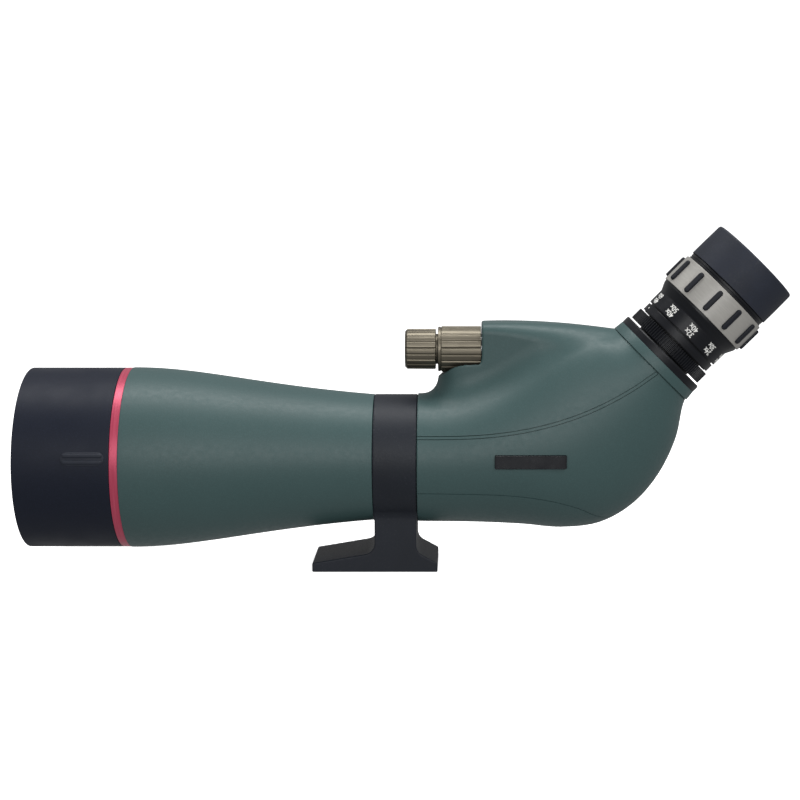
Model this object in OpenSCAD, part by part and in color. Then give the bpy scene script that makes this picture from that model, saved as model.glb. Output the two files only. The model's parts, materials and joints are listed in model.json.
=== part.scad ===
// Angled spotting scope, 80 mm objective, with a zoom eyepiece and a rotating tripod collar.
// Millimetres. The origin is the mouth of the tripod thread, in the middle of the foot's underside.
// +Z is up and the optical axis runs along X: the objective points to -X, the eyepiece leans to +X.

/* [Tripod foot and collar] */
// Height of the optical axis above the foot's underside
axis_h = 58; // [57:0.5:60]
// Length of the collar along the optical axis
collar_w = 22.9; // [22:0.1:24]
// Outer radius of the collar
collar_r = 33.4; // [33:0.1:34]
// Depth of the foot across the scope
foot_depth = 39.6; // [36:0.2:42]
// Reach of the foot in front of the collar's centre
foot_front = 43.8; // [40:0.2:46]
// Reach of the foot behind the collar's centre
foot_back = 22.1; // [20:0.2:24]

/* [Objective end] */
// Outer radius of the hood and the name ring
hood_r = 47.5; // [47:0.1:48.5]
// Front edge of the hood, measured forwards from the collar's centre
hood_front = 193.7; // [190:0.1:196]
// Rear edge of the hood
hood_rear = 144.0; // [143.5:0.1:144.5]
// How far the hood slides out
hood_travel = 30; // [20:1:30]
// Front end of the barrel
barrel_front = 139.7; // [139:0.1:140.5]
// Clear radius of the objective
objective_r = 40; // [38:0.5:40]

/* [Focus knobs] */
// Height of the knobs' axis above the optical axis
knob_z = 57.8; // [57:0.1:58.5]
// Radius of the coarse knob
coarse_r = 12.1; // [11.5:0.1:12.5]
// Radius of the fine knob
fine_r = 10.7; // [10:0.1:11]
// Ribs round each knob
knob_ribs = 20; // [16:1:24]

/* [Housing] */
// Thickness of the housing's wall
wall = 2.5; // [2:0.1:2.8]
// Lip centre, behind the collar's centre
lip_x = 138.6; // [138:0.1:139.2]
// Lip centre, above the optical axis
lip_z = 53.6; // [53:0.1:54.2]
// Radius of the green lip under the eyepiece
lip_r = 26.8; // [26.5:0.1:27]
// Depth of the housing's level front part below the optical axis
belly = 34.1; // [33.9:0.1:34.3]
// Place of the heel, the lowest part of the housing, behind the collar's centre
heel_x = 92; // [90:1:94]
// Depth of the heel below the optical axis
heel = 37.5; // [37.2:0.1:37.8]
// Crest of the focus hump above the optical axis
hump_h = 72.4; // [72.2:0.1:72.6]

/* [Eyepiece] */
// Radius of the eyepiece's inner barrel
eyepiece_r = 17.4; // [17:0.1:17.6]
// Radius of the grey zoom grip
grip_r = 26.75; // [26.5:0.05:27]
// Radius of the eyecup at its base
eyecup_r = 26.2; // [26:0.1:26.5]
// Number of rubber pads round the zoom grip
pad_count = 12; // [10:1:14]
// Number of grooves round the eyepiece's lock ring
knurl_count = 100; // [80:1:110]

/* [Hidden] */
$fn = 96;
eps = 0.5;
run = 0.05;                        // radial clearance of a running fit
side_gap = 0.1;                    // end clearance of the collar and the rings
tube_r = 29.6;                     // outer radius of the centre tube, which turns in the collar
tube_in = 27.5;
collar_half = collar_w / 2;
front_face = collar_half + side_gap;
foot_band = 4.7;                   // upright edge of the foot, below its sloping top
neck_half = 11;                    // half the length of the neck between foot and collar
neck_top = axis_h - 25;            // inside the collar's wall
neck_corner_r = 6;                 // round corners between the neck and the foot's top
front_slope = 9.6;                 // degrees by which the foot's top rises towards the neck
back_slope = 28.5;
bush_r = 5;                        // threaded bush in the foot
bush_h = 9;
thread_r = 2.6;                    // minor radius of a 1/4 in-20 thread
thread_depth = 8;
liner = 0.8;                       // nylon between the collar and the centre tube
boss_r = 8;                        // boss that the lock screw runs in
boss_start = 28;
boss_h = 9;
screw_r = 3;
screw_head_r = 9;
lip_stub = 5.3;                    // length of the round lip
lip_sum = lip_x + lip_z;
fan_x = 11.6;                      // every section plane of the housing turns about a line at (fan_x, fan_z)
fan_z = lip_sum - lip_stub * sqrt(2) - fan_x;
pocket_r = 13.8;
pocket_end = 45.3;                 // flat wall behind the coarse knob
guide_r = 44.6;                    // tube that the hood slides on
cell_r = 43.2;
lens_r = 41.5;
barrel_wall = 2.3;
pad_start = -100.5;                // place of one grip pad round the eyepiece, from local +X
zoom_sweep = 144;                  // turn of the zoom ring from its highest to its lowest power
zoom_steps = 12;

front_half = 33.9;                 // radius of the housing's round front edge
lip_step = 0.7;                    // by which the lip stands proud of the housing
side_swell = 6;                    // by which the housing's sides stand out between front edge and lip
round_handle = 0.55;               // handle of a cubic curve that turns like a quarter circle
heel_lean = 5;                     // by which the back leans away from upright below the lip
dip_start = 60;                    // handles of the gentle dip towards the heel
dip_end = 12;
barrel_r = 47.7;
barrel_taper = 4.5;                // degrees by which the barrel widens where it leaves the collar
barrel_front_handle = 35;
barrel_rear_handle = 61;
hump_front = 17.5;
hump_rise = 19;                    // length over which the hump climbs to its crest
hump_round_from = 13;              // from here back the hump's edges grow rounder
hump_foot = 35;                    // height at which it starts
hump_half = 22;                    // half width at its widest
hump_base = 20;

/* ---------- frames and shared shapes ---------- */

// Local +Z runs along the optical axis, towards the eyepiece end; local +X points down.
module along_axis(x = 0) { translate([x, 0, axis_h]) rotate([0, 90, 0]) children(); }

// Local +Z runs along the knobs' axis.
module along_knobs(x = 0) { translate([x, 0, axis_h + knob_z]) rotate([0, 90, 0]) children(); }

// Local origin at the lip's centre, local +Z out along the eyepiece.
module along_eyepiece(u = 0) {
    translate([lip_x, 0, axis_h + lip_z]) rotate([0, 45, 0]) translate([0, 0, u]) children();
}

// Plain ring from z = 0 to length.
module ring(inner, outer, length) {
    difference() {
        cylinder(r = outer, h = length);
        translate([0, 0, -eps]) cylinder(r = inner, h = length + 2 * eps);
    }
}

// Disc whose two faces are spheres: a positive bulge is convex, a negative one hollow.
module lens(radius, edge, front_bulge, back_bulge) {
    difference() {
        union() {
            cylinder(r = radius, h = edge);
            if (front_bulge > 0) mirror([0, 0, 1]) dome(radius, front_bulge);
            if (back_bulge > 0) translate([0, 0, edge]) dome(radius, back_bulge);
        }
        if (front_bulge < 0) dome(radius, -front_bulge);
        if (back_bulge < 0) translate([0, 0, edge]) mirror([0, 0, 1]) dome(radius, -back_bulge);
    }
}

// Spherical cap that stands on z = 0.
module dome(radius, height) {
    ball = (radius * radius + height * height) / (2 * height);
    intersection() {
        translate([0, 0, height - ball]) sphere(r = ball, $fn = 180);
        cylinder(r = radius, h = height);
    }
}

// Cylinder along Z with grooves round it, as a knob or a knurled ring.
module ribbed(radius, length, ribs, groove_w, groove_d) {
    linear_extrude(length) difference() {
        circle(r = radius);
        for (i = [0 : ribs - 1]) rotate(i * 360 / ribs)
            translate([radius - groove_d, -groove_w / 2]) square([groove_d + eps, groove_w]);
    }
}

// Solid through a row of rings of points.
module loft(rings) {
    n = len(rings[0]);
    last = len(rings) - 1;
    polyhedron(
        points = [for (r = rings) for (p = r) p],
        faces = concat(
            [[for (j = [0 : n - 1]) j]],
            [for (i = [0 : last - 1]) for (j = [0 : n - 1])
                [i * n + j, (i + 1) * n + j, i * n + (j + 1) % n]],
            [for (i = [0 : last - 1]) for (j = [0 : n - 1])
                [(i + 1) * n + j, (i + 1) * n + (j + 1) % n, i * n + (j + 1) % n]],
            [[for (j = [n - 1 : -1 : 0]) last * n + j]]),
        convexity = 6);
}

// Smooth value of column c between the rows of a table, at row position t.
function row_at(table, t, c) =
    let (last = len(table) - 1, i = min(floor(t), last - 1), f = t - i,
         a = table[max(i - 1, 0)][c], b = table[i][c], d = table[i + 1][c], e = table[min(i + 2, last)][c])
    b + 0.5 * f * ((d - a) + f * ((2 * a - 5 * b + 4 * d - e) + f * (3 * (b - d) + e - a)));

function mix(a, b, t) = a + (b - a) * t;

// Goes from 0 to 1 with level ends.
function ease(t) = let (s = max(0, min(1, t))) s * s * (3 - 2 * s);

// Point at t on the cubic curve with four control points.
function cubic(p, t) = let (s = 1 - t)
    s * s * s * p[0] + 3 * t * s * s * p[1] + 3 * t * t * s * p[2] + t * t * t * p[3];

// Distance from the sections' turning line to the eyepiece's axis, and the housing's end below the lip.
lip_rho = norm([lip_x - lip_stub / sqrt(2) - fan_x, fan_z - lip_z + lip_stub / sqrt(2)]);
end_r = lip_r - lip_step;
lip_low = [fan_x, fan_z] + (lip_rho + end_r) / sqrt(2) * [1, -1];

// Underside in side view: a gentle dip to the heel, then a round turn up to the lip.
heel_point = [heel_x, -heel];
dip = [[fan_x, -belly], [fan_x + dip_start, -belly], heel_point - [dip_end, 0], heel_point];
heel_turn = [
    heel_point, heel_point + [round_handle * (lip_low[0] - heel_x), 0],
    lip_low - [heel_lean, round_handle * (lip_low[1] + heel)], lip_low];
UNDERSIDE = [
    for (k = [0 : 19]) from_turning_line(cubic(dip, k / 20)),
    for (k = [0 : 20]) from_turning_line(cubic(heel_turn, k / 20))];

// Section angle and distance of a point in side view.
function from_turning_line(p) =
    [atan2(p[0] - fan_x, fan_z - p[1]), norm([p[0] - fan_x, fan_z - p[1]])];

// Rows of [section angle, top, bottom, half width]: distances from the turning line of the sections.
HOUSING = [for (a = [0 : 5 : 45]) let (t = a / 45) [
    a, mix(fan_z - front_half, lip_rho - end_r, t), lookup(a, UNDERSIDE),
    mix(front_half, end_r, t) + side_swell * sin(180 * pow(t, 1.1))]];

// Rows of [x, half width, top, edge radius] along the focus hump, above the optical axis.
HUMP = [for (x = concat([for (k = [0 : 5]) hump_front + 5 * k], [for (x = [45 : 10 : 115]) x]))
    [x, hump_width(x), hump_top(x), hump_edge(x)]];
function hump_crest(x) = hump_h - 3 * pow((x - 60) / 55, 2);
function hump_top(x) = mix(hump_foot, hump_crest(x), ease((x - hump_front) / hump_rise));
function hump_width(x) = min(hump_half, 8.2 + 0.185 * (x - 20));
function hump_edge(x) = min(hump_half - 1.5, 3 + 17.5 * pow((x - hump_round_from) / 92, 2.2));

// One closed ring of the housing, inset from the outside by the given amount.
function housing_ring(t, inset, count = 36) =
    let (angle = row_at(HOUSING, t, 0), top = row_at(HOUSING, t, 1) + inset,
         bottom = row_at(HOUSING, t, 2) - inset, half = row_at(HOUSING, t, 3) - inset,
         mid = (top + bottom) / 2, tall = (bottom - top) / 2)
    [for (j = [0 : count - 1]) let (a = 360 * j / count, rho = mid + tall * cos(a))
        [fan_x + rho * sin(angle), half * sin(a), axis_h + fan_z - rho * cos(angle)]];

// One closed ring of the focus hump.
function hump_ring(t, inset, steps = 5) =
    let (x = row_at(HUMP, t, 0), half = row_at(HUMP, t, 1) - inset, top = row_at(HUMP, t, 2) - inset,
         r = min(row_at(HUMP, t, 3), half - 0.2),
         arc = [for (k = [0 : steps]) let (a = 90 * k / steps) [half - r + r * cos(a), top - r + r * sin(a)]])
    concat(
        [[x, half, axis_h + hump_base]],
        [for (p = arc) [x, p[0], axis_h + p[1]]],
        [for (k = [steps : -1 : 0]) [x, -arc[k][0], axis_h + arc[k][1]]],
        [[x, -half, axis_h + hump_base]]);

// Outline of the barrel: a cubic curve, level at its front edge and tapered where it meets the collar.
function barrel_curve(steps = 14) =
    let (p = [
        [-barrel_front, barrel_r], [barrel_front_handle - barrel_front, barrel_r + 0.2],
        [-front_face - barrel_rear_handle, collar_r + barrel_rear_handle * tan(barrel_taper)],
        [-front_face, collar_r]])
    [for (k = [0 : steps]) cubic(p, k / steps)];

/* ---------- tripod foot and collar ---------- */

module tripod_collar() color("#25272b") difference() {
    union() {
        along_axis(-collar_half) cylinder(r = collar_r, h = collar_w);
        translate([0, foot_depth / 2, 0]) rotate([90, 0, 0]) linear_extrude(foot_depth) foot_outline();
        translate([0, boss_start, axis_h]) rotate([-90, 0, 0]) cylinder(r = boss_r, h = boss_h);
    }
    along_axis(-20) cylinder(r = tube_r + liner, h = 40);
    translate([0, 0, -eps]) cylinder(r = bush_r, h = bush_h + eps);
    translate([0, boss_start - eps, axis_h]) rotate([-90, 0, 0]) cylinder(r = screw_r + run, h = boss_h + 3);
}

// Side view of the foot and its neck.
module foot_outline() polygon(concat(
    [[-foot_front, 0], [foot_back, 0], [foot_back, foot_band]],
    neck_corner(foot_back, back_slope),
    [[neck_half, neck_top], [-neck_half, neck_top]],
    [for (p = reversed(neck_corner(foot_front, front_slope))) [-p[0], p[1]]],
    [[-foot_front, foot_band]]));

// Arc that joins the foot's sloping top to the upright neck, tangent to both.
function neck_corner(reach, slope) =
    let (x = neck_half + neck_corner_r,
         z = foot_band + (reach - x) * tan(slope) + neck_corner_r / cos(slope), steps = 8)
    [for (k = [0 : steps]) let (a = 270 - slope - (90 - slope) * k / steps)
        [x + neck_corner_r * cos(a), z + neck_corner_r * sin(a)]];

function reversed(list) = [for (k = [len(list) - 1 : -1 : 0]) list[k]];

module foot_bush() color("silver") difference() {
    cylinder(r = bush_r, h = bush_h);
    translate([0, 0, -eps]) cylinder(r = thread_r, h = thread_depth + eps);
}

module collar_liner() color("ivory") along_axis(-collar_half + 1)
    ring(tube_r + run, tube_r + liner, collar_w - 2);

// Nylon pad that the lock screw presses against the centre tube, on the far side.
module lock_pad() color("ivory") translate([0, tube_r + 0.9, axis_h]) rotate([-90, 0, 0])
    cylinder(r = screw_r - 0.5, h = 1.5);

// The head stops short of the fine knob, which passes it when the scope is rolled over.
module lock_screw() color("#25272b") translate([0, tube_r + 2.4, axis_h]) rotate([-90, 0, 0]) {
    cylinder(r = screw_r, h = 7);
    translate([0, 0, 6]) ribbed(screw_head_r, 7.8, 16, 1.4, 0.8);
}

/* ---------- objective end ---------- */

module hood() color("#1b1d21") along_axis() rotate_extrude() polygon([
    [guide_r + 1 + run, -hood_front + 0.5], [hood_r - 1.4, -hood_front + 0.2],
    [hood_r - 0.6, -hood_front + 0.9],
    [hood_r, -hood_front + 2.4], [hood_r, -hood_rear - side_gap], [guide_r + 0.1, -hood_rear - side_gap],
    [guide_r + 0.1, -hood_rear - 2.6], [guide_r + 1 + run, -hood_rear - 3.4]]);

// Two long oval grip pads with two ribs each, on opposite sides of the hood.
module hood_grips() color("#101216") for (side = [0, 180]) along_axis(-157.5)
    rotate([0, 0, side - 8.5]) intersection() {
        rotate([90, 0, 0]) linear_extrude(hood_r + 5) for (rib = [-1.6, 1.6])
            translate([rib, 0]) grip_oval(22 - 2 * abs(rib), 2.9);
        translate([0, 0, -15]) ring(hood_r, hood_r + 0.9, 30);
    }

module grip_oval(length, width) {
    for (end = [-1, 1]) translate([0, end * (length - width) / 2]) circle(d = width);
    square([width, length - width], center = true);
}

module front_tube() color("#2b2d31") along_axis(-184) {
    ring(cell_r, guide_r, 184 - barrel_front + 11);
}

// Felt band that guides the hood and stops it when it is pulled out.
module hood_guide_band() color("#3a3a3a") along_axis(-184) ring(guide_r, guide_r + 1, 6);

module lens_cell() color("#2b2d31") along_axis() rotate_extrude() difference() {
    translate([objective_r, -183.5]) square([cell_r - objective_r, 30]);
    translate([objective_r - eps, -183.5 - eps]) square([lens_r + run - objective_r + eps, 27.4 + eps]);
    translate([cell_r - 1, -166]) square([1 + eps, 1.6]);
}

module lens_seal() color("#101010") along_axis(-165.2) rotate_extrude()
    translate([cell_r - 0.5, 0]) circle(r = 0.5, $fn = 24);

module front_objective_lens() color([0.55, 0.7, 0.6, 0.5]) along_axis(-176) lens(lens_r, 4.5, 4, 3);

module objective_spacer() color("#444444") along_axis(-171.3) ring(lens_r - 1, lens_r, 4.7);

module rear_objective_lens() color([0.55, 0.7, 0.6, 0.5]) along_axis(-166.5) lens(lens_r, 10, -2.5, 3.5);

module lens_retainer() color("#2b2d31") along_axis(-179.4) ring(objective_r, lens_r, 3);

module name_ring() color("#c4557a") along_axis(-hood_rear) ring(guide_r, hood_r, hood_rear - barrel_front);

module barrel() color("#4c5f5a") along_axis() rotate_extrude() difference() {
    polygon(concat(
        [for (p = barrel_curve()) [p[1], p[0]]],
        [[tube_r, -front_face], [tube_r, -26]],
        barrel_inside()));
    translate([0, -barrel_front - eps]) square([guide_r, 11 + eps]);
}

// Inner wall of the barrel from the centre tube's seat to the front.
function barrel_inside() =
    let (outer = barrel_curve(), n = len(outer) - 1)
    [for (k = [n - 1 : -1 : 1]) if (outer[k][0] < -26) [outer[k][1] - barrel_wall, outer[k][0]],
     [guide_r - 0.6, -barrel_front]];

// Radius of the barrel's inside at a distance in front of the collar's centre.
function inside_at(x) =
    let (p = barrel_curve(), k = [for (i = [0 : len(p) - 2]) if (p[i][0] <= -x && p[i + 1][0] > -x) i][0],
         f = (-x - p[k][0]) / (p[k + 1][0] - p[k][0]))
    p[k][1] + f * (p[k + 1][1] - p[k][1]) - barrel_wall;

module light_baffles() color("#15161a") for (b = [[112, 36], [84, 31], [56, 27]])
    along_axis(-b[0]) ring(b[1], inside_at(b[0] - 1) - 0.05, 1);

module centre_tube() color("#33363a") along_axis(-24) ring(tube_in, tube_r, 48);

/* ---------- focus mechanism ---------- */

// The two rods lie at this radius and these angles round the optical axis.
rod_radius = 25.6;
rod_angles = [55, 235];
rod_r = 2;

module at_rods() for (a = rod_angles) rotate([0, 0, a]) translate([rod_radius, 0, 0]) children();

module front_rod_plate() color("#8c8f94") along_axis(24) difference() {
    cylinder(r = 29.4, h = 2.5);
    translate([0, 0, -eps]) cylinder(r = 22, h = 4);
    at_rods() translate([0, 0, -eps]) cylinder(r = rod_r, h = 4);
}

module rear_rod_plate() color("#8c8f94") along_axis(72) difference() {
    union() {
        cylinder(r = 30, h = 3.5);
        translate([-4, -33.2, 0]) cube([8, 66.4, 3.5]);
    }
    translate([0, 0, -eps]) cylinder(r = 20, h = 5);
    at_rods() translate([0, 0, -eps]) cylinder(r = rod_r, h = 5);
    prism_screw_spots() translate([0, 0, -eps]) cylinder(r = 1.2, h = 5);
}

module guide_rods() color("silver") along_axis(24) at_rods() cylinder(r = rod_r, h = 51.5);

carriage_x = 56;
module focus_carriage() color("#6d7075") {
    along_axis(carriage_x) difference() {
        union() {
            cylinder(r = 22.5, h = 9);
            at_rods() cylinder(r = 4, h = 9);
            translate([-knob_z, -4, 0]) cube([knob_z - 21, 8, 9]);
            translate([-knob_z, 0, 0]) cylinder(r = 6, h = 9);
        }
        translate([0, 0, -eps]) cylinder(r = 18.5, h = 12);
        translate([0, 0, 1.5]) cylinder(r = 20, h = 12);
        at_rods() translate([0, 0, -eps]) cylinder(r = rod_r + run, h = 12);
        translate([-knob_z, 0, -eps]) cylinder(r = 3 + run, h = 12);
    }
}

module focus_lens() color([0.55, 0.7, 0.6, 0.5]) along_axis(carriage_x + 1.5) lens(20, 4.5, -1.2, -1.2);

module focus_lens_retainer() color("#2b2d31") along_axis(carriage_x + 6) ring(18.5, 20, 3);

// Coarse knob: a ribbed sleeve with a thin plain flange, hollow behind for the reducer.
module coarse_knob() color("#8b8578") along_knobs(22.3) difference() {
    union() {
        cylinder(r = coarse_r - 0.3, h = 1.4);
        translate([0, 0, 1.4]) ribbed(coarse_r, 20.8, knob_ribs, 0.9, 0.55);
    }
    translate([0, 0, -eps]) cylinder(r = 2 + run, h = 8);
    translate([0, 0, 3.7]) cylinder(r = 8.5, h = 20);
}

// Shaft behind the coarse knob: the ball cage in front and the lead screw behind.
module coarse_shaft() color("silver") along_knobs(26) difference() {
    union() {
        cylinder(r = 5.6, h = 9);
        cylinder(r = 3, h = 66);
    }
    translate([0, 0, -eps]) cylinder(r = 2 + run, h = 2.5 + eps);
    translate([0, 0, -eps]) cylinder(r = 1 + run, h = 8);
    reducer_spots() rotate([0, 90, 0]) translate([0, 0, -3]) cylinder(r = 2.55, h = 8);
}

module reducer_spots() for (i = [0 : 2]) rotate([0, 0, i * 120]) translate([3.5, 0, 5]) children();

module reduction_balls() color("white") along_knobs(26) reducer_spots() sphere(r = 2.47, $fn = 48);

module fine_knob() color("#8b8578") along_knobs(4.9) {
    cylinder(r1 = fine_r - 1.2, r2 = fine_r - 0.1, h = 1.3);
    translate([0, 0, 1.3]) ribbed(fine_r, 15, knob_ribs, 0.8, 0.5);
    translate([0, 0, 16.3]) cylinder(r = 8, h = 0.95);
}

module fine_shaft() color("silver") along_knobs(22.15) {
    cylinder(r = 2, h = 6);
    cylinder(r = 1 - 0.03, h = 10.8);
}

module reducer_race() color("silver") along_knobs(28) ring(6.05, 8, pocket_end - 28);

module focus_bearing() color("#b08d57") along_knobs(pocket_end) ring(3 + run, 8, 4.2);

/* ---------- housing and prism ---------- */

module body_housing() color("#4c5f5a") difference() {
    union() {
        difference() {
            union() {
                loft([for (t = [0 : 0.5 : 9]) housing_ring(t, 0)]);
                loft([for (t = [0 : 1 : 13]) hump_ring(t, 0)]);
                along_eyepiece(-lip_stub - 2) cylinder(r = lip_r, h = lip_stub + 2);
            }
            loft([for (t = [1.2 : 0.5 : 8.2]) housing_ring(t, wall)]);
            loft([for (t = [6.3, 7, 8, 9, 10, 11, 12, 12.7]) hump_ring(t, wall)]);
            along_eyepiece(-17) cylinder(r = lip_r - wall, h = 20);
        }
        along_knobs(pocket_end) cylinder(r = 10.5, h = 4.2);
    }
    along_axis(fan_x - eps) cylinder(r = tube_r, h = 12.4 + eps);
    along_axis(20) cylinder(r = 29.4, h = 15);
    along_knobs(-6) cylinder(r = pocket_r, h = pocket_end + 6);
    translate([-6, -20, axis_h + knob_z]) cube([pocket_end + 6, 40, 30]);
    along_knobs(pocket_end - eps) cylinder(r = 8, h = 6);
    badge_place(1.3) square([37, 7.2], center = true);
}

// Flat oblong on the near side of the housing, cut or raised from the given depth.
module badge_place(depth) translate([70.2, -36.3 + depth, axis_h + 3.4]) rotate([90, 0, 0])
    linear_extrude(depth + 1) children();

module badge() color("#111316") translate([70.2, -35, axis_h + 3.4]) rotate([90, 0, 0])
    linear_extrude(1.5) difference() {
        square([36.8, 7], center = true);
        for (sx = [-1, 1], sy = [-1, 1]) translate([sx * 18.4, sy * 3.5])
            rotate(45) square(1.2, center = true);
    }

// Half-roof prism that turns the light through 45 degrees. prism_d is half its aperture.
prism_d = 16;
prism_side = prism_d * 2.828;
prism_tip = [lip_x - lip_z - 0.414 * prism_d, prism_d];
prism_low = prism_tip - [0, prism_side];
prism_far = prism_tip + prism_side * [sin(45), -cos(45)];

module roof_prism() color([0.6, 0.75, 0.85, 0.5]) difference() {
    translate([0, prism_d, axis_h]) rotate([90, 0, 0]) linear_extrude(2 * prism_d)
        polygon([prism_tip, prism_low, prism_far]);
    for (side = [0, 1]) mirror([0, side, 0])
        translate([prism_low[0], 0, axis_h + prism_low[1]]) rotate([0, -22.5, 0]) rotate([45, 0, 0])
            translate([-10, 0, -40]) cube([60, 40, 40]);
}

module prism_bracket() color("#55585d") difference() {
    union() {
        along_axis(75.5) cylinder(r = 28, h = 2.8);
        for (side = [-1, 1]) translate([0, side * (prism_d + 1.1) + 1, axis_h]) rotate([90, 0, 0])
            linear_extrude(2) polygon([[78, 16], [78, -11], [95, -4], [95, 2], [83, 14]]);
    }
    along_axis(75) cylinder(r = 15, h = 4);
    along_axis(75) prism_screw_spots() cylinder(r = 1.2, h = 4);
}

module prism_screw_spots() for (a = [90, 180, 270]) rotate([0, 0, a]) translate([23.5, 0, 0]) children();

module prism_screws() color("silver") along_axis(72.5) prism_screw_spots() {
    cylinder(r = 1.2, h = 6);
    translate([0, 0, 5.8]) cylinder(r = 2.2, h = 1.6);
}

// Two small clips that hold the corners of the prism's exit face, outside the round beam.
module prism_clips() color("silver") for (side = [0, 1]) mirror([0, side, 0])
    translate([prism_tip[0], 0, axis_h + prism_tip[1]]) rotate([0, 45, 0])
        translate([1.5, prism_d - 4, 0]) cube([4, 4.1, 0.8]);

/* ---------- eyepiece ---------- */

module eyepiece_socket() color("#141518") along_eyepiece() rotate_extrude() polygon([
    [eyepiece_r + run, -12], [lip_r - wall, -12], [lip_r - wall, 0], [lip_r - 0.6, 0],
    [lip_r - 0.6, 3.7], [lip_r - 1.1, 4.2], [eyepiece_r + run, 4.2]]);

module eyepiece_barrel() color("#1d1f23") along_eyepiece() difference() {
    translate([0, 0, -11]) cylinder(r = eyepiece_r, h = 63);
    translate([0, 0, -12]) cylinder(r = 15, h = 65);
    straight_slot(0, 18.7, 29.3);
    straight_slot(180, 35.7, 44.3);
}

// Straight slot that keeps a zoom cell from turning.
module straight_slot(angle, low, high) rotate([0, 0, angle])
    translate([13, -1.1, low]) cube([6, 2.2, high - low]);

module field_lens() color([0.55, 0.7, 0.6, 0.5]) along_eyepiece(-9) lens(15, 3, 1.5, 1);

module lock_ring() color("#141518") along_eyepiece(5.1) difference() {
    ribbed(24.5, 6.7, knurl_count, 0.7, 0.5);
    translate([0, 0, -eps]) cylinder(r = eyepiece_r + run, h = 8);
    translate([0, 0, 1.5]) ring(19, 23, 8);
}

module index_ring() color("#1d1f23") along_eyepiece() rotate_extrude() polygon([
    [eyepiece_r, 11.9], [18.6, 11.9], [18.6, 12.3], [22, 12.3], [22, 12.7], [23, 12.7], [23.3, 13],
    [23.3, 16.9], [23, 17.1], [eyepiece_r, 17.1]]);

module number_ring() color("#1d1f23") along_eyepiece() rotate_extrude() polygon([
    [19, 17.2], [22, 17.2], [22, 17.9], [23.65, 17.9], [23.65, 26.3], [25.6, 30.4], [25.8, 31],
    [25.8, 32.2], [22, 32.2], [22, 21], [19, 21]]);

module zoom_grip() color("#8f8d88") along_eyepiece() rotate_extrude() polygon([
    [22, 32.2], [grip_r - 0.4, 32.2], [grip_r, 32.6], [grip_r, 48.4], [grip_r - 0.4, 48.8],
    [19, 48.8], [19, 46.5], [22, 46.5]]);

module zoom_pads() color("#14161c") along_eyepiece(40.4) for (i = [0 : pad_count - 1])
    rotate([0, 0, pad_start + i * 360 / pad_count]) intersection() {
        rotate([0, 90, 0]) linear_extrude(40) rotate(90) grip_oval(13.3, 2.6);
        translate([0, 0, -8]) ring(grip_r, grip_r + 1.4, 16);
    }

// Cam sleeve: each slot climbs in short steps as the zoom ring turns.
module zoom_cam() color("#b08d57") along_eyepiece() difference() {
    translate([0, 0, 17.4]) ring(eyepiece_r + run, 19, 29);
    cam_slot(0, 20, 8);
    cam_slot(180, 43, -6);
}

module cam_slot(angle, start, rise) for (i = [0 : zoom_steps - 1])
    let (step = zoom_sweep / zoom_steps, half = 1.1 + 0.75 * abs(rise) / zoom_steps)
    rotate([0, 0, angle + i * step - 4.5]) rotate_extrude(angle = step + 9)
        translate([16.5, start + (i + 0.5) * rise / zoom_steps - half]) square([3.5, 2 * half]);

// Lens cell with a round guide pin that reaches through the barrel's slot into the cam.
module zoom_cell(angle, low, length, pin_u) difference() {
    union() {
        translate([0, 0, low]) cylinder(r = 15 - run, h = length);
        rotate([0, 0, angle]) translate([13, 0, pin_u]) rotate([0, 90, 0]) cylinder(r = 1, h = 5.7);
    }
    translate([0, 0, low - eps]) cylinder(r = 11.5, h = length + 2 * eps);
    translate([0, 0, low + 2]) cylinder(r = 13.4, h = length);
}

module front_zoom_cell() color("#2b2d31") along_eyepiece() zoom_cell(0, 6, 16, 20);

module front_zoom_lens() color([0.55, 0.7, 0.6, 0.5]) along_eyepiece(8.5) lens(13.4, 4, 1.6, 1.2);

module rear_zoom_cell() color("#2b2d31") along_eyepiece() zoom_cell(180, 37.5, 10, 43);

module rear_zoom_lens() color([0.55, 0.7, 0.6, 0.5]) along_eyepiece(39.5) lens(13.4, 4, -1.2, -1.2);

module trim_ring() color("#141518") along_eyepiece() rotate_extrude() polygon([
    [eyepiece_r, 48.95], [25.3, 48.95], [25.6, 49.2], [25.6, 51.6], [25.3, 51.8], [eyepiece_r, 51.8]]);

module eye_lens_cell() color("#2b2d31") along_eyepiece() rotate_extrude() polygon([
    [14.5, 52], [eyepiece_r, 52], [eyepiece_r, 51.8], [20, 51.8], [20, 64], [13.2, 64], [13.2, 62.8],
    [16, 62], [14.5, 62]]);

module eye_lens() color([0.55, 0.7, 0.6, 0.5]) along_eyepiece(57.6) lens(14.5, 3, 2, 1.2);

module eyecup_sleeve() color("#2b2d31") along_eyepiece(52.2) ring(20 + run, 22.9, 14.3);

module eyecup() color("#15171b") along_eyepiece() rotate_extrude() polygon([
    [22.9 + run, 52], [eyecup_r - 0.2, 52], [eyecup_r, 52.4], [eyecup_r, 60], [eyecup_r - 0.3, 70.4],
    [eyecup_r - 0.8, 71.5], [eyecup_r - 1.8, 72], [eyecup_r - 2.9, 71.6], [21, 68], [17.5, 67.2],
    [17, 66.6], [22.9 + run, 66.6]]);

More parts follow.
